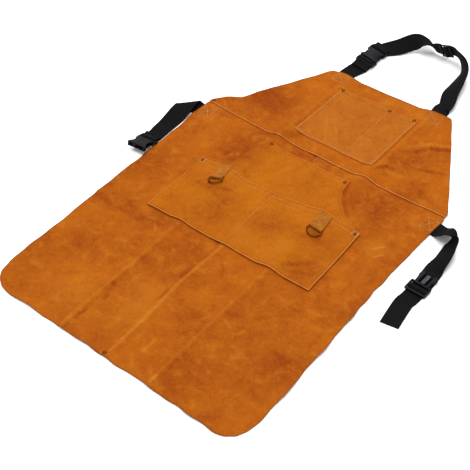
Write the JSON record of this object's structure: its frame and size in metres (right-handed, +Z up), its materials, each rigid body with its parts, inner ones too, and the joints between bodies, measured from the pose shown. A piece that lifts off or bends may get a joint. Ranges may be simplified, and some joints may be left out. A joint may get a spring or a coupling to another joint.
{
  "type": "welding apron",
  "caption": "Leather welding apron lying flat with its front up: bib with neck loop, lapped skirt, stacked pockets with ring tabs, and an open waist strap with a side release buckle.",
  "frame": {"origin": "on the surface the apron lies on, on the centre line at the waist seam: the back of the leather there", "axes": "+Z up, out of the apron's front; +Y from the hem to the bib; +X to the right as the front is looked at"},
  "size_m": [0.7392, 1.1426, 0.0483],
  "materials": {
    "suede": "napped split leather, orange-brown, mottled",
    "pocket_suede": "napped split leather, a little lighter",
    "tan_leather": "smooth tan leather",
    "pale_leather": "pale undyed leather",
    "bronze": "dark antiqued",
    "webbing": "black woven webbing",
    "plastic": "black, semi-gloss"
  },
  "bodies": {
    "apron": {"skirt_left": "suede", "skirt_right": "suede", "bib": "suede", "chest_pocket": "pocket_suede", "pocket_back": "pocket_suede", "pocket_front": "pocket_suede", "d_ring_tab_left": "tan_leather", "d_ring_tab_right": "tan_leather", "rivet_chest_left": "bronze", "rivet_chest_middle": "bronze", "rivet_chest_right": "bronze", "rivet_pocket_left": "bronze", "rivet_pocket_right": "bronze", "rivet_mouth_left": "bronze", "rivet_mouth_right": "bronze", "rivet_hem": "bronze", "rivet_waist_left": "bronze", "rivet_patch_left": "pale_leather", "rivet_patch_right": "pale_leather", "neck_strap_left": "webbing", "neck_strap_right": "webbing", "waist_strap_left": "webbing", "waist_strap_right": "webbing", "neck_buckle_male": "plastic", "neck_buckle_female": "plastic", "neck_slider": "plastic", "waist_buckle_female": "plastic", "waist_buckle_male": "plastic"},
    "ring_left": {"d_ring_left": "bronze"},
    "ring_right": {"d_ring_right": "bronze"}
  },
  "joints": [
    {"name": "ring_left_swing", "type": "hinge", "parent": "apron", "child": "ring_left", "pos_m": [-0.12073, -0.19414, 0.02153], "axis": [-0.9611, -0.1951, -0.1956], "range_deg": [0, 155]},
    {"name": "ring_right_swing", "type": "hinge", "parent": "apron", "child": "ring_right", "pos_m": [0.12693, -0.19112, 0.02161], "axis": [-0.9632, -0.1234, 0.2389], "range_deg": [0, 160]}
  ]
}
